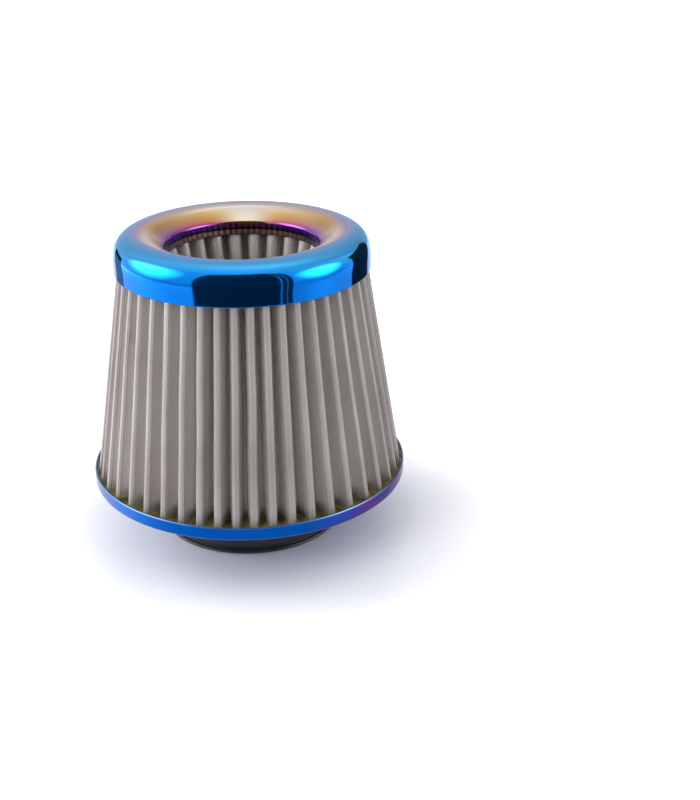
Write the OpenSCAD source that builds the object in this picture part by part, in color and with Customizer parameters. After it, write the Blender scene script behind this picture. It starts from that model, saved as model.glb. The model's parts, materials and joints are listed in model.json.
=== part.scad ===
// Cone air filter: a folded steel-mesh cone between a blue metal dish and a spun metal crown,
// with an inverted inner cone behind the crown's throat and a rubber neck that slips over an
// intake pipe. +Z runs up the axis, and the origin is the middle of the neck's lower end.

/* [Neck] */
// Bore of the neck, the outside diameter of the intake pipe
neck_bore_d = 76; // [60:1:84]
// Wall of the neck
neck_wall = 5; // [3:0.5:7]
// Length of the neck below the dish
neck_len = 25.5; // [16:0.5:60]
// How far the bead at the neck's mouth stands out
bead_out = 1.6; // [0.6:0.2:3]
// Height of the bead
bead_h = 1.8; // [1.2:0.2:4]
// Depth of the groove that holds the edge of the dish's hole
groove_depth = 2; // [1:0.5:2.5]
// How far the flange inside the dish reaches past the neck
flange_out = 4; // [1:0.5:8]
// Thickness of the flange
flange_t = 3; // [1.5:0.5:4]

/* [Dish] */
// Outside diameter of the dish
dish_d = 155; // [142:1:200]
// Height of the dish, from its underside to its rim
dish_h = 7; // [6.5:0.5:16]
// Sheet thickness of the dish
dish_t = 0.8; // [0.5:0.1:1.5]
// Outside radius of the dish's lower corner
dish_corner = 2; // [1.6:0.2:4]
// How far the resin lies below the rim
resin_drop = 1.5; // [0.5:0.5:2.5]

/* [Outer pleats] */
// Height of the pleats that shows between the dish's rim and the crown's lower edge
open_h = 100.1; // [60:0.1:160]
// Number of folds round the cone
folds = 47; // [30:1:54]
// Share of the room inside the crown that the outer folds take, where the inner ones have the rest
fold_share = 0.54; // [0.4:0.01:0.65]
// Thickness of the folded sheet, two wire meshes with the filter cloth between them
sheet_t = 1.2; // [0.8:0.1:1.5]
// Gap between the folds and the dish's wall, at the rim
rim_gap = 1.3; // [0.6:0.1:3]
// Gap between the folds and the crown's skirt, at its lower edge
skirt_gap = 0.5; // [0.3:0.1:2]
// How far the folds wander from an even spacing at the dish, in degrees
wander_low = 3; // [0:0.5:4]
// How far they wander at the crown
wander_high = 2; // [0:0.5:4]

/* [Inner pleats] */
// Number of folds round the inner cone
inner_folds = 26; // [16:1:28]
// Diameter inside the folds at the inner cone's closed lower end
well_d = 42; // [38:1:56]
// Height of the inner cone's lower end above the dish's rim
well_floor = 30; // [12:1:50]
// Gap between the inner folds and the crown's collar
collar_gap = 0.4; // [0.3:0.1:1]
// Gap between the inner and the outer folds at the crown
pack_gap = 1; // [0.5:0.1:2]

/* [Inner cap] */
// Thickness of the cap's floor
cap_floor = 3; // [2:0.5:6]
// Wall of the cap
cap_wall = 2; // [1.5:0.5:4]
// How far the cap's wall stands up round the folds
cap_rim_h = 4; // [2:0.5:8]
// Gap between the cap's wall and the folds
cap_gap = 0.3; // [0.2:0.1:0.8]

/* [Crown] */
// Outside diameter of the crown's skirt
crown_d = 122.4; // [116:0.2:140]
// Height of the crown, from its lower edge to its crest
crown_h = 17.6; // [16:0.1:26]
// Height of the skirt's straight part
skirt_h = 4.7; // [3:0.1:9]
// How square the shoulder is, where 2 is an ellipse
shoulder = 3; // [2:0.1:4]
// Where the crest, the crown's highest line, lies between the throat, 0, and the skirt, 1
crest_share = 0.45; // [0.3:0.01:0.6]
// Inside diameter of the throat
throat_d = 73; // [60:1:80]
// Height of the collar's lower edge above the skirt's
collar_low = 4.4; // [2:0.1:4.8]
// Height of the collar's upper end, where the bend into the funnel begins
collar_high = 10; // [7:0.1:12]
// Radius of that bend
throat_bend = 2; // [1.6:0.1:3]
// Radius of the curve from the crest into the funnel, as a share of the funnel's width
crest_bend = 0.72; // [0.3:0.01:0.9]
// Sheet thickness of the crown
crown_t = 0.8; // [0.5:0.1:1.5]
// Height of the resin's underside above the skirt's lower edge
seat_up = 5; // [5:0.1:6.5]

/* [Hidden] */
// Heights
dish_z = neck_len;
rim_z = dish_z + dish_h;
resin_z = rim_z - resin_drop;
skirt_z = rim_z + open_h;
seat_z = skirt_z + seat_up;
cap_z = rim_z + well_floor;

// Radii of the neck and dish
bore_r = neck_bore_d / 2;
neck_r = bore_r + neck_wall;
hole_r = neck_r - groove_depth;
flange_r = neck_r + flange_out;
flange_z = dish_z + dish_t + flange_t;
dish_r = dish_d / 2;

// Crown's radii
crown_r = crown_d / 2;
throat_r = throat_d / 2;
crest_r = throat_r + crest_share * (crown_r - throat_r);

// Funnel: a curve at the crest, a straight slope and the bend at the throat
crest_curve = crest_bend * (crest_r - throat_r);
slope_out = crest_r - throat_r - throat_bend;
slope_down = crown_h - collar_high - crest_curve;
slope = atan2(slope_down, slope_out)
    + asin((crest_curve - throat_bend) / norm([slope_out, slope_down]));

// Outer cone: the radius of the fold tips falls evenly from the dish to the crown
tip_low = dish_r - dish_t - rim_gap;
tip_high = crown_r - crown_t - skirt_gap;
tip_slope = (tip_high - tip_low) / open_h;
function tip_r(z) = tip_low + tip_slope * (z - rim_z);

// Inside the crown both cones share the room between the collar and the skirt
well_high = throat_r + crown_t + collar_gap;
fold_room = tip_r(seat_z) - well_high - pack_gap;
fold_depth = fold_share * fold_room;
inner_depth = fold_room - fold_depth;
well_low = well_d / 2;
well_slope = (well_high - well_low) / (seat_z - cap_z);

// The cap's wall leans out with the folds that it stands round
cap_low = well_low + inner_depth + cap_gap;
cap_high = cap_low + well_slope * cap_rim_h;
cap_r = cap_high + cap_wall;

// Shape of the folds: the share of the spacing that a fold's outer and inner bends take, which
// shallow folds have less room for
ridge_share = 0.34;
valley_share = 0.5;
ridge_steps = 6;
valley_steps = 4;
waves = 3;
low_lag = 8;
high_lag = -8;
front = -88.3;
inner_front = -92;

arc_steps = 16;
round_steps = 6;
edge = 1;
bead_groove = 0.8;
$fn = 96;

crown_blue = [0.12, 0.55, 0.86];
dish_blue = [0.03, 0.34, 0.80];
mesh_grey = [0.60, 0.57, 0.54];
resin_olive = [0.36, 0.36, 0.20];
rubber_black = [0.13, 0.13, 0.15];

function reversed(list) = [for (i = [len(list) - 1:-1:0]) list[i]];

// Points of an ellipse's arc about [r, z], with half-axes a and b
function arc(r, z, a, b, from, to, steps) = [
    for (i = [0:steps]) let (t = from + (to - from) * i / steps) [r + a * cos(t), z + b * sin(t)]
];

// The same for a quarter that is squarer than an ellipse, from the side to the top
function square_arc(r, z, a, b, squareness, steps) = [
    for (i = [0:steps]) let (t = 90 * i / steps)
        [r + a * pow(cos(t), 2 / squareness), z + b * pow(sin(t), 2 / squareness)]
];

// Section of the crown's sheet, one face of it: over the shoulder to the crest, down the funnel.
// An inset of 0 is the outer face, and crown_t the face inside.
function crown_face(inset) = concat(
    square_arc(crest_r, skirt_z + skirt_h, crown_r - crest_r - inset,
               crown_h - skirt_h - inset, shoulder, arc_steps),
    arc(crest_r, skirt_z + crown_h - crest_curve, crest_curve - inset, crest_curve - inset,
        90 + slope / round_steps, 90 + slope, round_steps - 1),
    arc(throat_r + throat_bend, skirt_z + collar_high, throat_bend - inset, throat_bend - inset,
        90 + slope, 180, round_steps)
);

// Azimuth of fold i, where fold 0 lies at first, and the folds stray from an even spacing in slow
// waves round the cone
function fold_turn(i, count, first, wander, lag) =
    let (even = 360 * i / count) first + even - wander * sin(waves * (even + lag));

function place(turn, r, side, z) =
    [r * cos(turn) - side * sin(turn), r * sin(turn) + side * cos(turn), z];

// One face of the folded sheet at one height, as a closed ring of points. Each fold is a round
// outer bend, a straight flank and a round inner bend; offset moves the ring off the middle.
function fold_ring(count, first, z, tip, depth, wander, lag, offset) =
    let (
        ridge_full = ridge_share * PI * tip / count,
        valley_full = valley_share * PI * (tip - depth) / count,
        bend = min(1, (depth - sheet_t) / (ridge_full + valley_full)),
        ridge_r = bend * ridge_full,
        valley_r = bend * valley_full,
        ridge_at = tip - sheet_t / 2 - ridge_r,
        valley_at = tip - depth + sheet_t / 2 + valley_r
    )
    [for (i = [0:count - 1])
        let (
            turn = fold_turn(i, count, first, wander, lag),
            next = fold_turn(i + 1, count, first, wander, lag),
            middle = (turn + next) / 2
        )
        each concat(
            [for (k = [0:ridge_steps]) let (b = -90 + 180 * k / ridge_steps)
                place(turn, ridge_at + (ridge_r + offset) * cos(b), (ridge_r + offset) * sin(b), z)],
            [for (k = [0:valley_steps]) let (b = -90 + 180 * k / valley_steps)
                place(middle, valley_at - (valley_r - offset) * cos(b), (valley_r - offset) * sin(b), z)]
        )
    ];

// Faces that join ring a to ring b, both of n points
function band(a, b, n) = [
    for (i = [0:n - 1]) let (j = (i + 1) % n) each [[a + i, b + j, a + j], [a + i, b + i, b + j]]
];

// A folded sheet that runs straight from a lower ring to an upper one
module folded_cone(count, first, z_low, z_high, tip_at_low, tip_at_high, depth,
                   low_wander, high_wander) {
    out_low = fold_ring(count, first, z_low, tip_at_low, depth, low_wander, low_lag, sheet_t / 2);
    in_low = fold_ring(count, first, z_low, tip_at_low, depth, low_wander, low_lag, -sheet_t / 2);
    out_high = fold_ring(count, first, z_high, tip_at_high, depth, high_wander, high_lag, sheet_t / 2);
    in_high = fold_ring(count, first, z_high, tip_at_high, depth, high_wander, high_lag, -sheet_t / 2);
    n = len(out_low);
    polyhedron(
        points = concat(out_low, out_high, in_high, in_low),
        faces = concat(band(0, n, n), band(n, 2 * n, n), band(2 * n, 3 * n, n), band(3 * n, 0, n)),
        convexity = 10
    );
}

// Spun metal ring: straight skirt, rounded crest, and a funnel down to an upright collar
module crown_ring() {
    color(crown_blue) rotate_extrude()
        polygon(concat(
            [[crown_r, skirt_z]],
            crown_face(0),
            [[throat_r, skirt_z + collar_low], [throat_r + crown_t, skirt_z + collar_low]],
            reversed(crown_face(crown_t)),
            [[crown_r - crown_t, skirt_z]]
        ));
}

// Resin that fills the crown and holds the upper ends of both folded sheets
module crown_resin() {
    color(resin_olive) rotate_extrude() intersection() {
        polygon(concat(
            [[crown_r - crown_t, skirt_z]],
            crown_face(crown_t),
            [[throat_r + crown_t, skirt_z]]
        ));
        translate([0, seat_z]) square([crown_d, crown_h]);
    }
}

module outer_pleats() {
    color(mesh_grey)
        folded_cone(folds, front, resin_z, seat_z, tip_r(resin_z), tip_r(seat_z), fold_depth,
                    wander_low, wander_high);
}

module inner_pleats() {
    color(mesh_grey)
        folded_cone(inner_folds, inner_front, cap_z, seat_z,
                    well_low + inner_depth, well_high + inner_depth, inner_depth, 0, 0);
}

// Moulded cap that closes the inner cone's lower end and grips its folds
module inner_cap() {
    color(rubber_black) rotate_extrude()
        polygon([
            [0, cap_z - cap_floor],
            [cap_r - edge, cap_z - cap_floor],
            [cap_r, cap_z - cap_floor + edge],
            [cap_r, cap_z + cap_rim_h],
            [cap_high, cap_z + cap_rim_h],
            [cap_low, cap_z],
            [0, cap_z]
        ]);
}

// Shallow pressed dish with a round lower corner and a hole for the neck
module base_dish() {
    corner_r = dish_r - dish_corner;
    corner_z = dish_z + dish_corner;
    color(dish_blue) rotate_extrude()
        polygon(concat(
            [[hole_r, dish_z]],
            arc(corner_r, corner_z, dish_corner, dish_corner, -90, 0, round_steps),
            [[dish_r, rim_z], [dish_r - dish_t, rim_z]],
            arc(corner_r, corner_z, dish_corner - dish_t, dish_corner - dish_t, 0, -90, round_steps),
            [[hole_r, dish_z + dish_t]]
        ));
}

// Resin poured into the dish and over the neck's flange, which holds the outer sheet's lower end
module base_resin() {
    inside_r = dish_r - dish_t;
    fillet = dish_corner - dish_t;
    color(resin_olive) rotate_extrude()
        polygon(concat(
            [[flange_r, dish_z + dish_t]],
            arc(inside_r - fillet, dish_z + dish_corner, fillet, fillet, -90, 0, round_steps),
            [[inside_r, resin_z], [neck_r, resin_z], [neck_r, flange_z], [flange_r, flange_z]]
        ));
}

// Rubber neck: bead at the mouth, a groove that holds the dish's edge, a flange inside the dish
module neck() {
    bead_r = neck_r + bead_out;
    color(rubber_black) rotate_extrude()
        polygon(concat(
            [[bore_r + edge, 0]],
            arc(bead_r - bead_h / 2, bead_h / 2, bead_h / 2, bead_h / 2, -90, 90, round_steps),
            [
                [neck_r - bead_groove / 2, bead_h],
                [neck_r - bead_groove / 2, bead_h + bead_groove],
                [neck_r, bead_h + 1.5 * bead_groove],
                [neck_r, dish_z],
                [hole_r, dish_z],
                [hole_r, dish_z + dish_t],
                [flange_r, dish_z + dish_t],
                [flange_r, flange_z],
                [bore_r + edge, flange_z],
                [bore_r, flange_z - edge],
                [bore_r, edge]
            ]
        ));
}

crown_ring();
crown_resin();
outer_pleats();
inner_pleats();
inner_cap();
base_dish();
base_resin();
neck();
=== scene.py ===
import json
import math

import bpy
from mathutils import Matrix, Vector, kdtree, noise


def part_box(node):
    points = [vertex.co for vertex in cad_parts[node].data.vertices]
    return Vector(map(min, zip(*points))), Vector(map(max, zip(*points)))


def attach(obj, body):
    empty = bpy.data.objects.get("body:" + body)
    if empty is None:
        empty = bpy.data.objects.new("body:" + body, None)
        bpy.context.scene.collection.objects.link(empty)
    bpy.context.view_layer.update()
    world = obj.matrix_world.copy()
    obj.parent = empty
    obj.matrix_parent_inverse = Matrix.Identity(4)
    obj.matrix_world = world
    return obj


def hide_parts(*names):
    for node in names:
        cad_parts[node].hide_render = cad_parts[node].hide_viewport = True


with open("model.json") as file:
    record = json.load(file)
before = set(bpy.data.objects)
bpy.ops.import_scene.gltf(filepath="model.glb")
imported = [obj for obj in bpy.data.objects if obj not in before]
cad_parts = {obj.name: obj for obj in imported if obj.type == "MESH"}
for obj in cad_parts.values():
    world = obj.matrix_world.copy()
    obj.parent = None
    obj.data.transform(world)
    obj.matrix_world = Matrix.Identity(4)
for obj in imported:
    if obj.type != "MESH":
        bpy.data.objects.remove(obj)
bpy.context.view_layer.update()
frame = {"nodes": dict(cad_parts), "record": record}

# The filter stands on its neck, +Z up. All sizes are in metres, and places come from the frame.

photoCamera = {
    "distance": 0.6231,     # in front of the axis
    "height": 0.3327,
    "turn": 0.0814,         # to the right of the filter, in radians
    "tilt": 0.4109,         # down
    "roll": -0.0064,
    "focal": 61.2,
}


def placeCamera(values):
    bpy.ops.object.camera_add(location=(0, -values["distance"], values["height"]))
    camera = bpy.context.object
    camera.name = "photoCamera"
    aim = (Matrix.Rotation(-values["turn"], 4, "Z")
           @ Matrix.Rotation(math.pi / 2 - values["tilt"], 4, "X")
           @ Matrix.Rotation(values["roll"], 4, "Z"))
    camera.rotation_euler = aim.to_euler()
    camera.data.sensor_width = 36
    camera.data.lens = values["focal"]
    camera.data.clip_start = 0.01
    camera.data.clip_end = 50
    bpy.context.scene.camera = camera


placeCamera(photoCamera)
print("camera placed")


# Short ways to wire up a material

def paint(red, green, blue):
    # screen colour 0-255 to the linear colour that the shader takes
    def linear(value):
        value /= 255
        return value / 12.92 if value <= 0.04045 else ((value + 0.055) / 1.055) ** 2.4
    return (linear(red), linear(green), linear(blue), 1)


def addNode(tree, kind, inputs=None, **settings):
    made = tree.nodes.new(kind)
    for name, value in settings.items():
        setattr(made, name, value)
    for name, value in (inputs or {}).items():
        if isinstance(value, bpy.types.NodeSocket):
            tree.links.new(value, made.inputs[name])
        else:
            made.inputs[name].default_value = value
    return made


def maths(tree, operation, first, second=0.0, clamp=False):
    made = addNode(tree, "ShaderNodeMath", {0: first, 1: second},
                   operation=operation, use_clamp=clamp)
    return made.outputs[0]


def ramp(tree, factor, stops):
    made = addNode(tree, "ShaderNodeValToRGB", {"Fac": factor})
    elements = made.color_ramp.elements
    while len(elements) > 1:
        elements.remove(elements[-1])
    elements[0].position = stops[0][0]
    elements[0].color = stops[0][1]
    for place, colour in stops[1:]:
        elements.new(place).color = colour
    return made.outputs["Color"]


def blendColours(tree, factor, first, second):
    # numbers 0, 6, 7 and 2 are the sockets that the node uses for colours
    made = addNode(tree, "ShaderNodeMix", {0: factor}, data_type="RGBA")
    for number, value in ((6, first), (7, second)):
        if isinstance(value, bpy.types.NodeSocket):
            tree.links.new(value, made.inputs[number])
        else:
            made.inputs[number].default_value = value
    return made.outputs[2]


def rangeOf(tree, value, low, high, toLow=0.0, toHigh=1.0):
    made = addNode(tree, "ShaderNodeMapRange", {"Value": value, "From Min": low, "From Max": high,
                                                "To Min": toLow, "To Max": toHigh}, clamp=True)
    return made.outputs["Result"]


def speckle(tree, vector, scale, detail=2.0, roughness=0.5):
    made = addNode(tree, "ShaderNodeTexNoise", {"Vector": vector, "Scale": scale, "Detail": detail,
                                                "Roughness": roughness})
    return made.outputs["Fac"]


def fromAxis(tree, where):
    # distance from the filter's axis
    flat = addNode(tree, "ShaderNodeVectorMath", {0: where.outputs["Object"], 1: (1, 1, 0)},
                   operation="MULTIPLY")
    away = addNode(tree, "ShaderNodeVectorMath", {0: flat.outputs[0]}, operation="LENGTH")
    return away.outputs["Value"]


def newMaterial(name):
    material = bpy.data.materials.new(name)
    material.use_nodes = True
    tree = material.node_tree
    shader = tree.nodes["Principled BSDF"]
    where = addNode(tree, "ShaderNodeTexCoord")
    return material, tree, shader, where


def link(tree, fromSocket, shader, name):
    tree.links.new(fromSocket, shader.inputs[name])


def bump(tree, shader, height, strength, distance):
    made = addNode(tree, "ShaderNodeBump", {"Strength": strength, "Distance": distance,
                                            "Height": height})
    link(tree, made.outputs["Normal"], shader, "Normal")


# Heat tint, with some painted highlight at the shoulder: colours along the sheet's profile, from
# the skirt's edge over the crest to the throat.
# Lengths in crownTint are in millimetres along that profile.

crownTint = {
    "outside": [
        (0.0, paint(3, 116, 216)),
        (5.0, paint(4, 124, 228)),
        (9.0, paint(8, 138, 238)),
        # the lighter, redder stops at 12 and 14.5 mm are partly heat tint and partly painted
        # highlight, whitening the highlights on the shoulder
        (12.0, paint(50, 164, 236)),
        (14.5, paint(70, 170, 232)),
        (17.0, paint(56, 160, 224)),
        (20.5, paint(70, 152, 212)),
        (23.4, paint(108, 150, 204)),
        (25.0, paint(156, 146, 190)),
        (26.4, paint(196, 160, 176)),
    ],
    "sides": [
        (25.0, paint(160, 134, 184)),
        (26.6, paint(190, 146, 150)),
        (28.6, paint(206, 160, 112)),
        (31.0, paint(206, 160, 98)),
        (33.5, paint(198, 150, 110)),
        (36.0, paint(190, 144, 142)),
        (38.0, paint(180, 120, 168)),
        (39.6, paint(140, 78, 178)),
        (40.8, paint(92, 60, 186)),
        (42.4, paint(56, 44, 120)),
        (45.8, paint(40, 34, 84)),
        (46.3, paint(150, 128, 150)),
    ],
    "back": [
        (24.6, paint(160, 134, 184)),
        (25.8, paint(186, 164, 166)),
        (27.4, paint(188, 174, 168)),
        (30.4, paint(206, 192, 178)),
        (32.6, paint(222, 194, 150)),
        (35.0, paint(216, 168, 104)),
        (37.4, paint(206, 146, 78)),
        (38.6, paint(206, 128, 84)),
        (39.6, paint(180, 84, 116)),
        (40.6, paint(124, 56, 150)),
        (41.4, paint(88, 48, 130)),
        (42.6, paint(64, 46, 62)),
        (45.8, paint(52, 38, 44)),
        (46.3, paint(176, 146, 140)),
    ],
    "tongue": [
        (24.6, paint(160, 134, 184)),
        (25.8, paint(186, 164, 166)),
        (27.4, paint(184, 174, 170)),
        (31.0, paint(208, 200, 194)),
        (37.4, paint(230, 220, 204)),
        (39.4, paint(238, 222, 190)),
        (40.3, paint(206, 160, 108)),
        (41.0, paint(108, 66, 64)),
        (42.0, paint(56, 42, 44)),
        (45.8, paint(48, 38, 42)),
        (46.3, paint(170, 144, 136)),
    ],
    "near": [
        (25.0, paint(166, 146, 190)),
        (27.0, paint(206, 180, 178)),
        (29.5, paint(236, 208, 190)),
        (34.0, paint(240, 206, 190)),
        (37.0, paint(222, 176, 180)),
        (39.0, paint(176, 122, 178)),
        (40.8, paint(92, 60, 176)),
        (42.4, paint(56, 44, 120)),
        (45.8, paint(40, 34, 84)),
        (46.3, paint(150, 128, 150)),
    ],
    "length": 46.6,
    "crest": 25.6,           # where the outside's colours hand over to the funnel's
    "handOver": 0.7,
    "cloud": 2.4,            # how unevenly the bands run
    "frontClimb": 7.8,       # how much higher the blue climbs at the front
    "rightDrop": 0.4,
    "drop": 1.8,
    "backRange": (0.35, 0.92),
    "nearRange": (0.2, -0.25),
    "tongueTurn": 0.06,      # in radians, to the right of the middle of the back
    "tongueNarrow": 26,
    "roughness": 0.07,
    "dull": 0.3,             # how much rougher the funnel's near half is
    "dullOver": 4,
    "specular": (0.8, 0.9, 1, 1),
    "coat": 0.08,
    "coatRoughness": 0.05,
}


def crownMetal(values):
    material, tree, shader, where = newMaterial("heatTintedCrown")
    uv = addNode(tree, "ShaderNodeSeparateXYZ", {0: where.outputs["UV"]})
    around = maths(tree, "MULTIPLY", uv.outputs["X"], 2 * math.pi)
    length = values["length"]
    along = maths(tree, "MULTIPLY", uv.outputs["Y"], length)
    cloud = maths(tree, "SUBTRACT", speckle(tree, where.outputs["Object"], 22, 1.5), 0.5)
    along = maths(tree, "ADD", along, maths(tree, "MULTIPLY", cloud, values["cloud"]))
    toBack = maths(tree, "SINE", around)
    # the blue climbs highest at the front
    front = maths(tree, "MAXIMUM", maths(tree, "MULTIPLY", toBack, -1), 0)
    shifted = maths(tree, "SUBTRACT", along, maths(tree, "MULTIPLY", front, values["frontClimb"]))
    right = maths(tree, "MULTIPLY", maths(tree, "COSINE", around), values["rightDrop"])
    shifted = maths(tree, "ADD", maths(tree, "ADD", shifted, right), values["drop"])

    def rampOf(name, place):
        stops = [(at / length, colour) for at, colour in values[name]]
        return ramp(tree, maths(tree, "DIVIDE", place, length), stops)

    back = rangeOf(tree, toBack, *values["backRange"])
    near = rangeOf(tree, toBack, *values["nearRange"])
    # at the middle of the back the silver runs down to the collar
    leaned = maths(tree, "SINE", maths(tree, "ADD", around, values["tongueTurn"]))
    tongue = maths(tree, "POWER", maths(tree, "MAXIMUM", leaned, 0), values["tongueNarrow"])
    funnel = blendColours(tree, back, rampOf("sides", along), rampOf("back", along))
    funnel = blendColours(tree, tongue, funnel, rampOf("tongue", along))
    funnel = blendColours(tree, near, funnel, rampOf("near", along))
    crest = values["crest"]
    handOver = rangeOf(tree, shifted, crest - values["handOver"], crest + values["handOver"])
    tint = blendColours(tree, handOver, rampOf("outside", shifted), funnel)
    link(tree, tint, shader, "Base Color")
    shader.inputs["Metallic"].default_value = 1
    shader.inputs["Specular Tint"].default_value = values["specular"]
    shader.inputs["Coat Weight"].default_value = values["coat"]
    shader.inputs["Coat Roughness"].default_value = values["coatRoughness"]
    smear = speckle(tree, where.outputs["Object"], 60, 3)
    rough = maths(tree, "ADD", maths(tree, "MULTIPLY", smear, 0.05), values["roughness"] - 0.02)
    inner = rangeOf(tree, along, crest, crest + values["dullOver"])
    dull = maths(tree, "MULTIPLY", maths(tree, "MULTIPLY", inner, near), values["dull"])
    link(tree, maths(tree, "ADD", rough, dull), shader, "Roughness")
    # faint upright streaks, left by the drawing of the sheet
    drawn = addNode(tree, "ShaderNodeMapping", {"Vector": where.outputs["Object"],
                                                "Scale": (1, 1, 0.04)})
    bump(tree, shader, speckle(tree, drawn.outputs["Vector"], 420, 1), 0.02, 0.0003)
    return material


dishTint = {
    "blue": paint(4, 88, 182),
    "pale": paint(138, 156, 196),
    "periwinkle": paint(52, 114, 200),
    "violet": paint(50, 56, 140),
    "purple": paint(98, 50, 140),
    "dusk": paint(128, 126, 150),
    "underside": paint(18, 70, 160),
    # painted highlight: pale colour of thin lines along the rim's top and lower edges
    "paintedEdgeHighlight": paint(150, 196, 232),
    "highlightTopHeight": 0.0008,       # height of the painted highlight line at the rim's top
    "highlightFootHeight": 0.0012,      # and at the lower edge
    "rim": (0.0755, 0.0765),             # distances from the axis where the rim's colours begin
    "round": [               # share of the way round, from the back over the left and the front
        (0.0, "violet"),
        (0.18, "pale"),
        (0.26, "pale"),
        (0.34, "periwinkle"),
        (0.42, "blue"),
        (0.56, "blue"),
        (0.61, "violet"),
        (0.64, "purple"),
        (0.66, "violet"),
        (0.69, "purple"),
        (0.76, "dusk"),
        (1.0, "violet"),
    ],
    "drift": 0.5,            # how unevenly those bands run, in radians
    "roughness": 0.13,
}


def dishMetal(values):
    material, tree, shader, where = newMaterial("heatTintedDish")
    place = addNode(tree, "ShaderNodeSeparateXYZ", {0: where.outputs["Object"]})
    toFront = maths(tree, "MULTIPLY", place.outputs["Y"], -1)
    around = maths(tree, "ARCTAN2", place.outputs["X"], toFront)
    drift = maths(tree, "SUBTRACT", speckle(tree, where.outputs["Object"], 14, 2), 0.5)
    around = maths(tree, "ADD", around, maths(tree, "MULTIPLY", drift, values["drift"]))
    stops = [(share, values[colour]) for share, colour in values["round"]]
    tint = ramp(tree, rangeOf(tree, around, -math.pi, math.pi), stops)
    low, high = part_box("base_dish")
    rim = rangeOf(tree, fromAxis(tree, where), *values["rim"])
    tint = blendColours(tree, rim, values["underside"], tint)
    height = place.outputs["Z"]
    # painted highlight: a thin pale line along the rim's top edge and along its lower edge
    upper = rangeOf(tree, height, high.z - values["highlightTopHeight"], high.z - 0.0002, 0.0, 0.45)
    lower = rangeOf(tree, height, low.z + values["highlightFootHeight"], low.z + 0.0004, 0.0, 0.35)
    paintedEdgeHighlight = maths(tree, "MULTIPLY", maths(tree, "ADD", upper, lower), rim)
    tint = blendColours(tree, paintedEdgeHighlight, tint, values["paintedEdgeHighlight"])
    link(tree, tint, shader, "Base Color")
    shader.inputs["Metallic"].default_value = 1
    smear = speckle(tree, where.outputs["Object"], 90, 3)
    rough = maths(tree, "ADD", maths(tree, "MULTIPLY", smear, 0.08), values["roughness"] - 0.03)
    link(tree, rough, shader, "Roughness")
    return material


weave = {
    "pitch": 0.00125,        # twill line to twill line, up the sheet
    "slant": 0.0015,         # and along it
    "wire": 0.0006,          # one upright wire to the next
    "light": paint(188, 182, 178),
    "dark": paint(52, 48, 47),
    "warm": paint(172, 164, 160),
    "paintedFlankLight": paint(232, 225, 221),       # painted light: lighter colour down the folds' flanks, lifting the shade between the folds
    "olive": paint(84, 76, 50),
    "wick": 0.005,           # how high the resin has soaked up the mesh
    "paintedFlankLightDepth": (0.001, 0.006),        # depths below the folds' tips
    "gapDepth": (0.001, 0.004),
    "gapDarkness": (0.38, 0.72),         # of the gaps between wires, at those depths
    "soakDepth": (0.0015, 0.005),
    "soakShare": (0.35, 0.9),
    "relief": 0.0002,
}


def wireMesh(values, name, folds, low, high):
    material, tree, shader, where = newMaterial(name)
    uv = addNode(tree, "ShaderNodeSeparateXYZ", {0: where.outputs["UV"]})
    # twill: the wires across lie in low ridges that step sideways from row to row
    across = maths(tree, "MULTIPLY", uv.outputs["X"], 2 * math.pi / values["slant"])
    up = maths(tree, "MULTIPLY", uv.outputs["Y"], 2 * math.pi / values["pitch"])
    rows = maths(tree, "SINE", maths(tree, "ADD", up, across))
    upright = maths(tree, "MULTIPLY", uv.outputs["X"], 2 * math.pi / values["wire"])
    upright = maths(tree, "MULTIPLY", maths(tree, "SINE", upright), 0.1)
    height = maths(tree, "ADD", maths(tree, "MULTIPLY", rows, 0.4), upright)
    height = maths(tree, "ADD", height, 0.5)
    patches = speckle(tree, where.outputs["Object"], 26, 2)
    grain = speckle(tree, where.outputs["Object"], 900, 1)
    steel = blendColours(tree, rangeOf(tree, patches, 0.35, 0.65), values["light"], values["warm"])
    # how deep a spot lies below the folds' tips
    place = addNode(tree, "ShaderNodeSeparateXYZ", {0: where.outputs["Object"]})
    tip = rangeOf(tree, place.outputs["Z"], low, high, folds["lowTip"], folds["highTip"])
    deep = maths(tree, "SUBTRACT", tip, fromAxis(tree, where))
    # painted light: the deeper a spot lies below the folds' tips, the lighter it is painted, to
    # lift the shade between the folds
    paintedFlankLight = rangeOf(tree, deep, *values["paintedFlankLightDepth"])
    steel = blendColours(tree, paintedFlankLight, steel, values["paintedFlankLight"])
    darkness = rangeOf(tree, deep, *values["gapDepth"], *values["gapDarkness"])
    gaps = maths(tree, "MULTIPLY", rangeOf(tree, height, 0.7, 0.05), darkness)
    steel = blendColours(tree, gaps, steel, values["dark"])
    steel = blendColours(tree, maths(tree, "MULTIPLY", grain, 0.16), steel, values["dark"])
    # resin soaked into the lower edge, most of it between the folds
    between = rangeOf(tree, deep, *values["soakDepth"], *values["soakShare"])
    climb = maths(tree, "MULTIPLY", speckle(tree, where.outputs["Object"], 120, 2), values["wick"])
    above = maths(tree, "SUBTRACT", place.outputs["Z"], climb)
    soaked = rangeOf(tree, above, low, low + 0.004, 0.85, 0.0)
    soaked = maths(tree, "MULTIPLY", soaked, between)
    colour = blendColours(tree, soaked, steel, values["olive"])
    link(tree, colour, shader, "Base Color")
    link(tree, rangeOf(tree, soaked, 0.0, 0.8, 0.3, 0.05), shader, "Metallic")
    link(tree, rangeOf(tree, grain, 0.3, 0.7, 0.4, 0.56), shader, "Roughness")
    bump(tree, shader, height, 0.5, values["relief"])
    return material


resin = {
    "colour": paint(122, 112, 72),
    "deep": paint(74, 69, 44),
    "bubble": paint(36, 34, 20),
}


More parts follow.
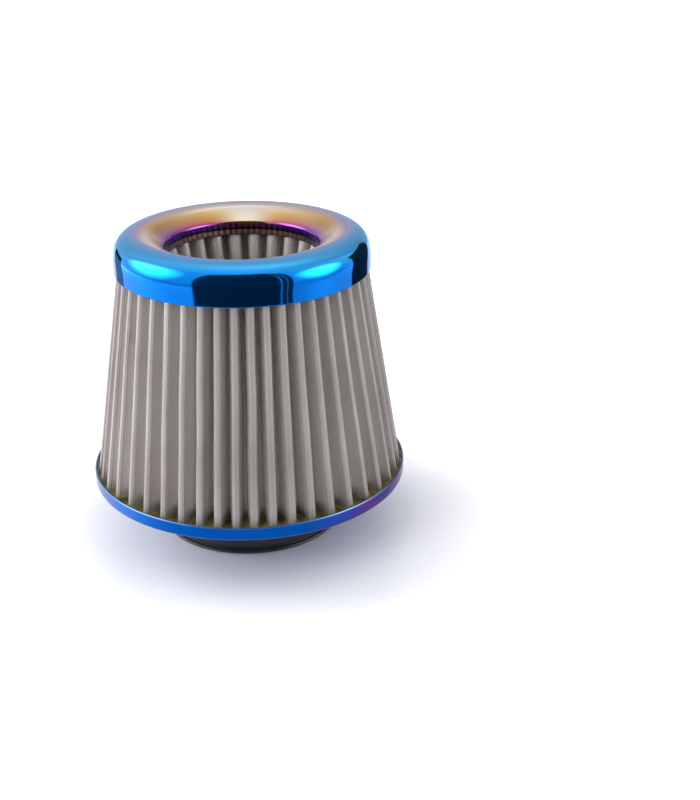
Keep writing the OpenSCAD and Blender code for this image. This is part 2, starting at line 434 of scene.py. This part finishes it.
def castResin(values):
    material, tree, shader, where = newMaterial("castResin")
    cells = addNode(tree, "ShaderNodeTexVoronoi", {"Vector": where.outputs["Object"], "Scale": 420})
    bubbles = rangeOf(tree, cells.outputs["Distance"], 0.12, 0.26)
    cloud = speckle(tree, where.outputs["Object"], 130, 3)
    colour = blendColours(tree, rangeOf(tree, cloud, 0.36, 0.62), values["deep"], values["colour"])
    colour = blendColours(tree, bubbles, values["bubble"], colour)
    link(tree, colour, shader, "Base Color")
    shader.inputs["Roughness"].default_value = 0.32
    lumps = maths(tree, "ADD", bubbles, maths(tree, "MULTIPLY", cloud, 0.6))
    bump(tree, shader, lumps, 0.5, 0.0004)
    return material


rubber = {
    "colour": paint(40, 42, 47),
    "rubbed": paint(62, 63, 68),
}


def mouldedRubber(values, name):
    material, tree, shader, where = newMaterial(name)
    grain = speckle(tree, where.outputs["Object"], 700, 3)
    smear = speckle(tree, where.outputs["Object"], 35, 3)
    colour = blendColours(tree, rangeOf(tree, smear, 0.4, 0.75), values["colour"], values["rubbed"])
    link(tree, colour, shader, "Base Color")
    link(tree, rangeOf(tree, smear, 0.3, 0.7, 0.26, 0.4), shader, "Roughness")
    bump(tree, shader, grain, 0.2, 0.0001)
    return material


# Ways of modelling that several pieces share

def startFresh():
    if bpy.context.mode != "OBJECT":
        bpy.ops.object.mode_set(mode="OBJECT")
    bpy.ops.object.select_all(action="DESELECT")


def turned(name, outline, turns):
    # one point, extruded along the outline, closed and spun round the axis
    startFresh()
    bpy.ops.mesh.primitive_plane_add(size=0.001, location=(0, 0, 0))
    piece = bpy.context.object
    piece.name = name
    bpy.ops.object.mode_set(mode="EDIT")
    bpy.ops.mesh.select_all(action="SELECT")
    bpy.ops.mesh.merge(type="CENTER")
    bpy.ops.transform.translate(value=(outline[0][0], 0, outline[0][1]))
    for (fromR, fromZ), (toR, toZ) in zip(outline, outline[1:] + outline[:1]):
        step = {"value": (toR - fromR, 0, toZ - fromZ)}
        bpy.ops.mesh.extrude_region_move(TRANSFORM_OT_translate=step)
    bpy.ops.mesh.select_all(action="SELECT")
    bpy.ops.mesh.remove_doubles(threshold=1e-7)
    bpy.ops.mesh.spin(steps=turns, angle=2 * math.pi, center=(0, 0, 0), axis=(0, 0, 1))
    bpy.ops.mesh.select_all(action="SELECT")
    bpy.ops.mesh.remove_doubles(threshold=1e-6)
    bpy.ops.mesh.normals_make_consistent(inside=False)
    bpy.ops.object.mode_set(mode="OBJECT")
    return piece


def finishPiece(piece, material, node, smoothAngle=40):
    piece.select_set(True)
    bpy.context.view_layer.objects.active = piece
    bpy.ops.object.shade_smooth_by_angle(angle=math.radians(smoothAngle))
    piece.data.materials.clear()
    piece.data.materials.append(material)
    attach(piece, "root")
    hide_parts(node)
    startFresh()
    print(piece.name, "made,", len(piece.data.polygons), "faces")


def arc(centreR, centreZ, radiusR, radiusZ, start, end, steps):
    angles = [math.radians(start + (end - start) * step / steps) for step in range(steps + 1)]
    return [(centreR + radiusR * math.cos(a), centreZ + radiusZ * math.sin(a)) for a in angles]


def bevelEdges(piece, width, segments):
    modifier = piece.modifiers.new("roundedEdges", "BEVEL")
    modifier.width = width
    modifier.segments = segments
    modifier.limit_method = "ANGLE"
    modifier.angle_limit = math.radians(30)
    bpy.context.view_layer.objects.active = piece
    bpy.ops.object.modifier_apply(modifier=modifier.name)


# Crown: spun sheet with a straight skirt, a square shoulder, a crest and a funnel to the collar

crown = {
    "crestRadius": 0.04762,
    "throatRadius": 0.0365,
    "skirt": 0.0047,         # straight part above the lower edge
    "collarTop": 0.01,       # above the lower edge
    "collarEdge": 0.0044,
    "throatBend": 0.002,
    "crestBend": 0.72,       # share of the funnel's width
    "sheet": 0.0008,
    "squareness": 3,
    "arcSteps": 36,
    "bendSteps": 12,
    "turns": 200,
}


def crownFace(values, inset):
    low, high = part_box("crown_ring")
    wide = high.x - values["crestRadius"] - inset
    tall = high.z - low.z - values["skirt"] - inset
    power = 2 / values["squareness"]
    face = []
    for step in range(values["arcSteps"] + 1):
        angle = math.pi / 2 * step / values["arcSteps"]
        across = max(math.cos(angle), 0) ** power
        face.append((values["crestRadius"] + wide * across,
                     low.z + values["skirt"] + tall * math.sin(angle) ** power))
    # funnel: a curve at the crest, a straight slope and a tighter bend at the throat
    width = values["crestRadius"] - values["throatRadius"]
    bend = values["throatBend"]
    curve = values["crestBend"] * width
    fall = high.z - low.z - values["collarTop"] - curve
    slope = math.atan2(fall, width - bend)
    slope += math.asin((curve - bend) / math.hypot(width - bend, fall))
    slope = math.degrees(slope)
    crest = arc(values["crestRadius"], high.z - curve, curve - inset, curve - inset,
                90, 90 + slope, values["arcSteps"])
    throat = arc(values["throatRadius"] + bend, low.z + values["collarTop"],
                 bend - inset, bend - inset, 90 + slope, 180, values["bendSteps"])
    straight = [(crest[-1][0] + (throat[0][0] - crest[-1][0]) * share,
                 crest[-1][1] + (throat[0][1] - crest[-1][1]) * share) for share in (0.1, 0.5, 0.9)]
    return face + crest[1:] + straight + throat


def crownOutline(values):
    low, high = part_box("crown_ring")
    half = values["sheet"] / 2
    outside = crownFace(values, 0)
    inside = crownFace(values, values["sheet"])
    edge = low.z + values["collarEdge"] + half
    fall = values["collarTop"] - values["collarEdge"]
    collar = [(values["throatRadius"], edge + fall * share) for share in (0.7, 0.4, 0.1)]
    collar += arc(values["throatRadius"] + half, edge, half, half, 180, 360, 6)
    hem = arc(high.x - half, low.z + half, half, half, 180, 360, 8)
    straight = [(high.x, low.z + half + values["skirt"] * share)
                for share in (0.03, 0.1, 0.5, 0.85)]
    return outside, outside + collar + inside[::-1] + hem + straight


def makeCrown(values):
    outside, outline = crownOutline(values)
    piece = turned("crownRing", outline, values["turns"])
    # the piece's own map: once round it, and along the profile of the outer face
    low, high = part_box("crown_ring")
    path = [(high.x, low.z)] + outside + [(values["throatRadius"], low.z + values["collarEdge"])]
    lengths = [0]
    for (fromR, fromZ), (toR, toZ) in zip(path, path[1:]):
        lengths.append(lengths[-1] + math.hypot(toR - fromR, toZ - fromZ))
    tree = kdtree.KDTree(len(path))
    for index, (radius, z) in enumerate(path):
        tree.insert((radius, 0, z), index)
    tree.balance()
    along = []
    for vertex in piece.data.vertices:
        radius = math.hypot(vertex.co.x, vertex.co.y)
        along.append(lengths[tree.find((radius, 0, vertex.co.z))[1]] * 1000 / crownTint["length"])
    layer = piece.data.uv_layers.active or piece.data.uv_layers.new(name="profile")
    for polygon in piece.data.polygons:
        spots = [piece.data.vertices[v].co for v in polygon.vertices]
        turns = [math.atan2(spot.y, spot.x) / (2 * math.pi) % 1 for spot in spots]
        wraps = max(turns) - min(turns) > 0.5
        for corner, vertex, turn in zip(polygon.loop_indices, polygon.vertices, turns):
            layer.data[corner].uv = (turn + 1 if wraps and turn < 0.5 else turn, along[vertex])
    finishPiece(piece, crownMetal(crownTint), "crown_ring", 60)


makeCrown(crown)


# Folded sheets

outerFolds = {
    "count": 47,
    "depth": 0.011,
    "sheet": 0.0012,
    "lowTip": 0.0754,        # at the dish's rim
    "highTip": 0.0599,       # at the crown's lower edge
    "ridge": 0.25,           # share of the spacing that the outer bend takes
    "valley": 0.25,
    "ridgeSteps": 14,
    "valleySteps": 6,
    "flatness": 2.8,         # 2 is a round ridge, more is a flatter one
    "rows": 30,
    "wanderLow": 3.0,        # degrees off an even spacing
    "wanderHigh": 2.0,
    "lowLag": 8,
    "highLag": -8,
    "front": -88.3,
    "sway": 0.00016,         # how unevenly each fold runs
}

innerFolds = {
    "count": 26,
    "depth": 0.0094,
    "sheet": 0.0012,
    "lowTip": 0.0304,
    "highTip": 0.0471,
    "ridge": 0.34,
    "valley": 0.5,
    "ridgeSteps": 7,
    "valleySteps": 9,
    "flatness": 2.0,
    "rows": 18,
    "wanderLow": 0.0,
    "wanderHigh": 0.0,
    "lowLag": 0,
    "highLag": 0,
    "front": -92.0,
    "sway": 0.00016,
}


def foldTurn(values, fold, share):
    # where fold number fold stands, share of the way up the sheet
    even = 360 * fold / values["count"]
    low = values["wanderLow"] * math.sin(math.radians(3 * (even + values["lowLag"])))
    high = values["wanderHigh"] * math.sin(math.radians(3 * (even + values["highLag"])))
    return values["front"] + even - (low + (high - low) * share)


def foldPoint(values, fold, step, share, tip, height):
    # middle of the sheet at one step across a fold and its valley
    count = values["count"]
    ridge = values["ridge"] * math.pi * tip / count
    valley = values["valley"] * math.pi * (tip - values["depth"]) / count
    ends = math.sin(math.pi * min(max(share, 0), 1)) ** 0.5

    def swayOf(number):
        number %= count
        seed = Vector((number * 7.3, height * 28, count))
        return values["sway"] * ends * 2 * noise.noise(seed) / tip

    def pushOf(number):
        seed = Vector((number * 5.1, height * 22, count + 9))
        return values["sway"] * ends * noise.noise(seed)

    turn = math.radians(foldTurn(values, fold, share)) + swayOf(fold)
    after = math.radians(foldTurn(values, fold + 1, share)) + swayOf(fold + 1)
    if step <= values["ridgeSteps"]:
        bend = math.radians(-90 + 180 * step / values["ridgeSteps"])
        power = 2 / values["flatness"]
        out = max(math.cos(bend), 0) ** power
        radial = tip - values["sheet"] / 2 - ridge + ridge * out + pushOf(fold % count)
        side = ridge * math.copysign(abs(math.sin(bend)) ** power, bend)
    else:
        turn = (turn + after) / 2
        bend = math.radians(-90 + 180 * (step - values["ridgeSteps"] - 1) / values["valleySteps"])
        radial = tip - values["depth"] + values["sheet"] / 2 + valley - valley * math.cos(bend)
        side = valley * math.sin(bend)
    return Vector((radial * math.cos(turn) - side * math.sin(turn),
                   radial * math.sin(turn) + side * math.cos(turn), height))


def makeFolds(values, name, materialName, node, slopeFrom, slopeTo):
    # the tips lie on a cone from lowTip at the height slopeFrom to highTip at slopeTo
    startFresh()
    low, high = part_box(node)
    bottom = low.z
    top = high.z
    perFold = values["ridgeSteps"] + values["valleySteps"] + 2
    around = values["count"] * perFold
    rows = values["rows"]

    def tipAt(height):
        share = (height - slopeFrom) / (slopeTo - slopeFrom)
        return values["lowTip"] + (values["highTip"] - values["lowTip"]) * share

    bpy.ops.mesh.primitive_circle_add(vertices=around, radius=tipAt(bottom),
                                      location=(0, 0, bottom))
    piece = bpy.context.object
    piece.name = name
    bpy.ops.object.transform_apply(location=True)
    bpy.ops.object.mode_set(mode="EDIT")
    bpy.ops.mesh.select_all(action="SELECT")
    rise = (top - bottom) / rows
    for row in range(rows):
        bpy.ops.mesh.extrude_region_move(TRANSFORM_OT_translate={"value": (0, 0, rise)})
    bpy.ops.object.mode_set(mode="OBJECT")
    # crumple the plain tube into folds
    mesh = piece.data
    spots = []
    for vertex in mesh.vertices:
        index = round(math.atan2(vertex.co.y, vertex.co.x) / (2 * math.pi) * around) % around
        row = round((vertex.co.z - bottom) / rise)
        share = row / rows
        height = bottom + (top - bottom) * share
        fold, step = divmod(index, perFold)
        vertex.co = foldPoint(values, fold, step, share, tipAt(height), height)
        spots.append((index, row))
    # map the weave: metres along the folded sheet, and metres up it
    middle = (bottom + top) / 2
    ring = [foldPoint(values, i // perFold, i % perFold, 0.5, tipAt(middle), middle)
            for i in range(around)]
    lengths = [0]
    for index in range(around):
        lengths.append(lengths[-1] + (ring[(index + 1) % around] - ring[index]).length)
    layer = mesh.uv_layers.active or mesh.uv_layers.new(name="weave")
    for polygon in mesh.polygons:
        indices = [spots[v][0] for v in polygon.vertices]
        wraps = max(indices) - min(indices) > around / 2
        for corner, vertex, index in zip(polygon.loop_indices, polygon.vertices, indices):
            index = around if wraps and index == 0 else index
            layer.data[corner].uv = (lengths[index], spots[vertex][1] * rise)
    piece.select_set(True)
    bpy.ops.object.mode_set(mode="EDIT")
    bpy.ops.mesh.select_all(action="SELECT")
    bpy.ops.mesh.normals_make_consistent(inside=False)
    bpy.ops.object.mode_set(mode="OBJECT")
    thick = piece.modifiers.new("sheet", "SOLIDIFY")
    thick.thickness = values["sheet"]
    thick.offset = 0
    bpy.ops.object.modifier_apply(modifier=thick.name)
    finishPiece(piece, wireMesh(weave, materialName, values, bottom, top), node, 50)


innerLow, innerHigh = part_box("inner_pleats")
dishLow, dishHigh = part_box("base_dish")
crownLow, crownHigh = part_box("crown_ring")
makeFolds(outerFolds, "outerPleats", "outerMesh", "outer_pleats", dishHigh.z, crownLow.z)
makeFolds(innerFolds, "innerPleats", "innerMesh", "inner_pleats", innerLow.z, innerHigh.z)


# Dish: shallow pressed pan

dish = {
    "hole": 0.041,
    "floor": 0.060,          # out to here the floor has one ring of faces
    "corner": 0.002,
    "sheet": 0.0008,
    "turns": 200,
}


def makeDish(values):
    low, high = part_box("base_dish")
    sheet = values["sheet"]
    half = sheet / 2
    cornerR = high.x - values["corner"]
    cornerZ = low.z + values["corner"]
    inner = values["corner"] - sheet
    outline = [(values["hole"], low.z), (values["floor"], low.z)]
    outline += arc(cornerR, cornerZ, values["corner"], values["corner"], -90, 0, 8)
    outline += arc(high.x - half, high.z - half, half, half, 0, 180, 6)
    outline += arc(cornerR, cornerZ, inner, inner, 0, -90, 6)
    outline += [(values["floor"], low.z + sheet), (values["hole"], low.z + sheet)]
    piece = turned("baseDish", outline, values["turns"])
    finishPiece(piece, dishMetal(dishTint), "base_dish", 50)


makeDish(dish)


# Resin in the dish: poured round the folds, so it creeps up each of them

pour = {
    "inner": 0.0432,
    "rings": 26,
    "ringsFrom": 0.0615,
    "perFold": 14,
    "creep": 0.0011,         # how high it climbs at a fold
    "reach": 0.0009,
    "ripple": 0.00025,
    "ripplesPerMetre": 260,
    "sink": 0.0004,          # how far the flat parts lie under the frame's resin
    "thickness": 0.002,
}


def makeResin(values):
    startFresh()
    low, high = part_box("base_resin")
    around = outerFolds["count"] * values["perFold"]
    bpy.ops.mesh.primitive_circle_add(vertices=around, radius=high.x, location=(0, 0, high.z))
    piece = bpy.context.object
    piece.name = "baseResin"
    bpy.ops.object.transform_apply(location=True)
    bpy.ops.object.mode_set(mode="EDIT")
    bpy.ops.mesh.select_all(action="SELECT")
    radius = high.x
    for ring in range(values["rings"]):
        smaller = high.x + (values["ringsFrom"] - high.x) * (ring + 1) / values["rings"]
        bpy.ops.mesh.extrude_region_move(TRANSFORM_OT_translate={"value": (0, 0, 0)})
        share = smaller / radius
        bpy.ops.transform.resize(value=(share, share, 1), center_override=(0, 0, high.z))
        radius = smaller
    bpy.ops.mesh.extrude_region_move(TRANSFORM_OT_translate={"value": (0, 0, 0)})
    share = values["inner"] / radius
    bpy.ops.transform.resize(value=(share, share, 1), center_override=(0, 0, high.z))
    bpy.ops.object.mode_set(mode="OBJECT")
    # the sheet's outline where it enters the resin
    tip = outerFolds["lowTip"]
    perFold = outerFolds["ridgeSteps"] + outerFolds["valleySteps"] + 2
    total = outerFolds["count"] * perFold
    ring = [foldPoint(outerFolds, i // perFold, i % perFold, 0, tip, high.z) for i in range(total)]
    between = 4
    tree = kdtree.KDTree(total * between)
    for index in range(total):
        for part in range(between):
            spot = ring[index].lerp(ring[(index + 1) % total], part / between)
            tree.insert(spot, index)
    tree.balance()
    bpy.ops.object.mode_set(mode="EDIT")
    bpy.ops.mesh.select_all(action="SELECT")
    bpy.ops.mesh.normals_make_consistent(inside=False)
    bpy.ops.object.mode_set(mode="OBJECT")
    if piece.data.polygons[0].normal.z < 0:
        piece.data.flip_normals()
    thick = piece.modifiers.new("body", "SOLIDIFY")
    thick.thickness = values["thickness"]
    thick.offset = -1
    bpy.ops.object.modifier_apply(modifier=thick.name)
    for vertex in piece.data.vertices:
        if vertex.co.z < high.z - values["thickness"] / 2:
            continue
        spot = Vector((vertex.co.x, vertex.co.y, high.z))
        away = max(tree.find(spot)[2] - outerFolds["sheet"] / 2, 0)
        climb = values["creep"] * math.exp(-away / values["reach"])
        fromRim = high.x - math.hypot(spot.x, spot.y)
        wall = values["creep"] * 0.6 * math.exp(-fromRim / values["reach"])
        ripple = values["ripple"] * noise.noise(spot * values["ripplesPerMetre"])
        vertex.co.z = high.z - values["sink"] + max(climb, wall) + ripple
    finishPiece(piece, castResin(resin), "base_resin", 60)


makeResin(pour)


# Neck: moulded rubber, with a bead at the mouth

neck = {
    "wall": 0.005,
    "bead": 0.0016,
    "beadHeight": 0.0018,
    "groove": 0.0008,
    "grooveDepth": 0.0004,
    "hold": 0.002,           # groove that takes the dish's edge
    "flange": 0.003,
    "mouth": 0.001,
    "extraRing": 0.004,      # a ring of faces this far under the dish keeps the shading even
    "turns": 180,
}


def makeNeck(values):
    low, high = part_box("neck")
    bore = frame["record"]["mounts"][0]["dims"]["r_mm"] / 1000
    outside = bore + values["wall"]
    dishUnder = dishLow.z
    flangeUnder = high.z - values["flange"]
    beadR = outside + values["bead"]
    half = values["beadHeight"] / 2
    outline = [(bore + values["mouth"], low.z)]
    outline += arc(beadR - half, low.z + half, half, half, -90, 90, 8)
    grooveZ = low.z + values["beadHeight"]
    outline += [
        (outside - values["grooveDepth"], grooveZ),
        (outside - values["grooveDepth"], grooveZ + values["groove"]),
        (outside, grooveZ + 1.5 * values["groove"]),
        (outside, dishUnder - values["extraRing"]),
        (outside, dishUnder),
        (outside - values["hold"], dishUnder),
        (outside - values["hold"], flangeUnder),
        (high.x, flangeUnder),
        (high.x, high.z),
        (bore + values["mouth"], high.z),
        (bore, high.z - values["mouth"]),
        (bore, low.z + values["mouth"]),
    ]
    piece = turned("neckRubber", outline, values["turns"])
    bevelEdges(piece, 0.0002, 2)
    finishPiece(piece, mouldedRubber(rubber, "neckRubber"), "neck", 50)


makeNeck(neck)


# Cap that closes the inner cone

cap = {
    "floor": 0.003,
    "wall": 0.002,
    "clearance": 0.0003,     # round the folds' lower tips
    "pinhole": 0.0001,       # kept open for the spin, and closed after it
    "turns": 120,
    "edge": 0.0005,
}


def makeCap(values):
    low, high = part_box("inner_cap")
    seat = low.z + values["floor"]
    insideTop = high.x - values["wall"]
    insideLow = innerFolds["lowTip"] + values["clearance"]
    outline = [
        (values["pinhole"], low.z),
        (high.x, low.z),
        (high.x, high.z),
        (insideTop, high.z),
        (insideLow, seat),
        (values["pinhole"], seat),
    ]
    piece = turned("innerCap", outline, values["turns"])
    bevelEdges(piece, values["edge"], 3)
    bpy.ops.object.mode_set(mode="EDIT")
    bpy.ops.mesh.select_all(action="SELECT")
    bpy.ops.mesh.remove_doubles(threshold=1.5 * values["pinhole"])
    bpy.ops.object.mode_set(mode="OBJECT")
    finishPiece(piece, mouldedRubber(rubber, "capRubber"), "inner_cap", 50)


makeCap(cap)


# Resin inside the crown stays as the frame has it

crownResin = frame["nodes"]["crown_resin"]
crownResin.data.materials.clear()
crownResin.data.materials.append(castResin(resin))
print("resin in the crown dressed")


# Stage: pale floor, white surroundings, soft lamps, and cards that only gloss sees

stage = {
    "floorSize": 12.0,
    "floor": (0.83, 0.84, 0.90, 1),
    "paintedFloorLight": (0.0, 0.85),     # painted light: how much whiter the camera sees the floor, at the filter and far off; nil at the filter, so the shadow shows only there
    "paintedFloorLightReach": (0.08, 0.24),
    "glossDim": 0.15,        # how much darker metal sees it
    "glossLift": (0.0, 0.5),             # but whiter behind the filter, from here to there
    "glossReach": (0.25, 0.6),
    "ambient": 0.64,
    "overhead": 0.4,
    "lamps": [
        # place, width, power
        ((-0.92, 0.42, 0.34), 0.8, 16.0),
        ((0.92, 0.42, 0.34), 0.8, 6.0),
        ((-0.85, -0.75, 0.5), 0.6, 6.0),
    ],
    "darkCards": [
        # the two ends of the foot, lower and upper edge, how light it is
        ((-0.272, -0.31), (0.173, -0.31), 0.0, 0.75, 0.02),
        ((0.180, -0.31), (0.212, -0.31), 0.0, 0.7, 0.02),
        ((0.217, -0.31), (0.256, -0.31), 0.0, 0.62, 0.02),
        ((0.322, 0.068), (0.229, 0.237), 0.0, 0.26, 0.01),
        ((-0.297, 0.18), (-0.215, 0.253), 0.0, 0.12, 0.3),
        ((-0.297, 0.18), (-0.215, 0.253), 0.12, 0.17, 0.01),
    ],
    "glows": [
        # place, width, strength
        ((-0.80, 0.0, 0.50), 1.05, 5.0),
        ((0.80, -0.27, 0.44), 0.85, 5.5),
        ((0.07, 0.40, 1.0), 0.7, 1.25),
    ],
    "frontSky": [            # height of the direction, brightness that metal sees there
        (0.0, 0.95), (0.3, 1.0), (0.6, 1.0), (0.8, 0.95), (1.0, 0.9),
    ],
    "backSky": [
        (0.0, 0.8), (0.25, 0.78), (0.45, 0.8), (0.75, 0.95), (1.0, 1.05),
    ],
    "divide": (0.64, 0.55, 0.83),        # how the edge between the two leans, bends and lies
    "divideSoft": 0.03,
    "rightLoss": 0.25,       # how much darker it is at the back to the right
    "rightRange": (0.1, 0.6),
    "target": (0, 0, 0.14),              # what lamps and glows face
}


def stageMaterial(name, colour, rough):
    material, tree, shader, where = newMaterial(name)
    shader.inputs["Base Color"].default_value = colour
    shader.inputs["Roughness"].default_value = rough
    return material


def floorMaterial(values):
    material, tree, shader, where = newMaterial("paleFloor")
    rays = addNode(tree, "ShaderNodeLightPath")
    dim = maths(tree, "MULTIPLY", rays.outputs["Is Glossy Ray"], values["glossDim"])
    link(tree, blendColours(tree, dim, values["floor"], (0, 0, 0, 1)), shader, "Base Color")
    shader.inputs["Roughness"].default_value = 0.3
    shader.inputs["Emission Color"].default_value = (1, 1, 1, 1)
    # painted light: the camera sees the floor glow whiter away from the filter, which paints the
    # shadow out beyond a tight pool
    away = addNode(tree, "ShaderNodeVectorMath", {0: where.outputs["Object"]}, operation="LENGTH")
    paintedFloorLight = rangeOf(tree, away.outputs["Value"], *values["paintedFloorLightReach"], *values["paintedFloorLight"])
    paintedFloorLight = maths(tree, "MULTIPLY", rays.outputs["Is Camera Ray"], paintedFloorLight)
    spot = addNode(tree, "ShaderNodeSeparateXYZ", {0: where.outputs["Object"]})
    behind = rangeOf(tree, spot.outputs["Y"], *values["glossReach"], *values["glossLift"])
    behind = maths(tree, "MULTIPLY", rays.outputs["Is Glossy Ray"], behind)
    link(tree, maths(tree, "ADD", paintedFloorLight, behind), shader, "Emission Strength")
    return material


def glowMaterial(name, strength):
    material = bpy.data.materials.new(name)
    material.use_nodes = True
    tree = material.node_tree
    tree.nodes.clear()
    where = addNode(tree, "ShaderNodeTexCoord")
    fade = addNode(tree, "ShaderNodeTexGradient", {"Vector": where.outputs["Object"]},
                   gradient_type="SPHERICAL")
    light = addNode(tree, "ShaderNodeEmission", {"Color": (1, 1, 1, 1), "Strength": strength})
    clear = addNode(tree, "ShaderNodeBsdfTransparent")
    spread = maths(tree, "MULTIPLY", fade.outputs["Fac"], 1.5, clamp=True)
    mix = addNode(tree, "ShaderNodeMixShader", {0: spread})
    tree.links.new(clear.outputs[0], mix.inputs[1])
    tree.links.new(light.outputs[0], mix.inputs[2])
    out = addNode(tree, "ShaderNodeOutputMaterial")
    tree.links.new(mix.outputs[0], out.inputs["Surface"])
    return material


def glossOnly(card):
    for rays in ("visible_camera", "visible_diffuse", "visible_shadow", "visible_transmission",
                 "visible_volume_scatter"):
        setattr(card, rays, False)


def makeFloor(values):
    startFresh()
    bpy.ops.mesh.primitive_plane_add(size=values["floorSize"], location=(0, 0, 0))
    floor = bpy.context.object
    floor.name = "paleFloor"
    floor.data.materials.append(floorMaterial(values))


def makeCards(values):
    for number, (first, second, low, high, light) in enumerate(values["darkCards"]):
        startFresh()
        middle = ((first[0] + second[0]) / 2, (first[1] + second[1]) / 2, (low + high) / 2)
        turn = math.atan2(second[1] - first[1], second[0] - first[0])
        bpy.ops.mesh.primitive_plane_add(size=1, location=middle, rotation=(math.pi / 2, 0, turn))
        card = bpy.context.object
        card.name = "darkCard%d" % number
        card.scale = (math.dist(first, second), high - low, 1)
        card.data.materials.append(stageMaterial(card.name, (light, light, light, 1), 0.9))
        glossOnly(card)
    for number, (place, width, strength) in enumerate(values["glows"]):
        startFresh()
        turn = (Vector(values["target"]) - Vector(place)).to_track_quat("Z", "Y").to_euler()
        bpy.ops.mesh.primitive_plane_add(size=2, location=place, rotation=turn)
        card = bpy.context.object
        card.name = "softGlow%d" % number
        card.scale = (width / 2, width / 2, 1)
        card.data.materials.append(glowMaterial(card.name, strength))
        glossOnly(card)


def makeLamps(values):
    for number, (place, width, power) in enumerate(values["lamps"]):
        startFresh()
        turn = (Vector(values["target"]) - Vector(place)).to_track_quat("-Z", "Y").to_euler()
        bpy.ops.object.light_add(type="AREA", location=place, rotation=turn)
        light = bpy.context.object
        light.name = "sideLamp%d" % number
        light.data.shape = "SQUARE"
        light.data.size = width
        light.data.energy = power
        light.visible_glossy = False
    startFresh()
    bpy.ops.object.light_add(type="SUN", location=(0, 0, 2))
    light = bpy.context.object
    light.name = "overheadLamp"
    light.data.angle = math.radians(80)  # wide, so its shadow is soft
    light.data.energy = values["overhead"]
    light.visible_glossy = False
    startFresh()


def makeSurroundings(values):
    world = bpy.data.worlds.new("whiteStudio")
    world.use_nodes = True
    tree = world.node_tree
    tree.nodes.clear()
    rays = addNode(tree, "ShaderNodeLightPath")
    toward = addNode(tree, "ShaderNodeTexCoord")
    toward = addNode(tree, "ShaderNodeSeparateXYZ", {0: toward.outputs["Generated"]})
    height = toward.outputs["Z"]

    # the eye sees white all round, and metal sees one grey in front and another behind
    def grey(stops):
        levels = [(at, (level, level, level, 1)) for at, level in stops]
        return addNode(tree, "ShaderNodeSeparateColor", {0: ramp(tree, height, levels)}).outputs[0]

    right = rangeOf(tree, toward.outputs["X"], *values["rightRange"], 0.0, values["rightLoss"])
    back = maths(tree, "SUBTRACT", grey(values["backSky"]), right)
    lean, bend, edge = values["divide"]
    across = maths(tree, "ADD", toward.outputs["Y"], maths(tree, "MULTIPLY", height, lean))
    curl = maths(tree, "POWER", maths(tree, "ABSOLUTE", height), 4)
    across = maths(tree, "ADD", across, maths(tree, "MULTIPLY", curl, bend))
    behind = rangeOf(tree, across, edge - values["divideSoft"], edge + values["divideSoft"])
    front = maths(tree, "MULTIPLY", maths(tree, "SUBTRACT", 1.0, behind), grey(values["frontSky"]))
    gloss = maths(tree, "ADD", maths(tree, "MULTIPLY", behind, back), front)
    gloss = maths(tree, "MULTIPLY", gloss, rays.outputs["Is Glossy Ray"])
    seen = maths(tree, "MAXIMUM", rays.outputs["Is Camera Ray"],
                 rays.outputs["Is Transmission Ray"])
    direct = maths(tree, "MAXIMUM", seen, rays.outputs["Is Glossy Ray"])
    ambient = rangeOf(tree, direct, 0, 1, values["ambient"], 0.0)
    strength = maths(tree, "MAXIMUM", maths(tree, "MAXIMUM", seen, gloss), ambient)
    sky = addNode(tree, "ShaderNodeBackground", {"Color": (1, 1, 1, 1), "Strength": strength})
    out = addNode(tree, "ShaderNodeOutputWorld")
    tree.links.new(sky.outputs[0], out.inputs["Surface"])
    bpy.context.scene.world = world


makeFloor(stage)
makeCards(stage)
makeLamps(stage)
makeSurroundings(stage)
bpy.context.scene.view_settings.view_transform = "Standard"
print("stage lit")
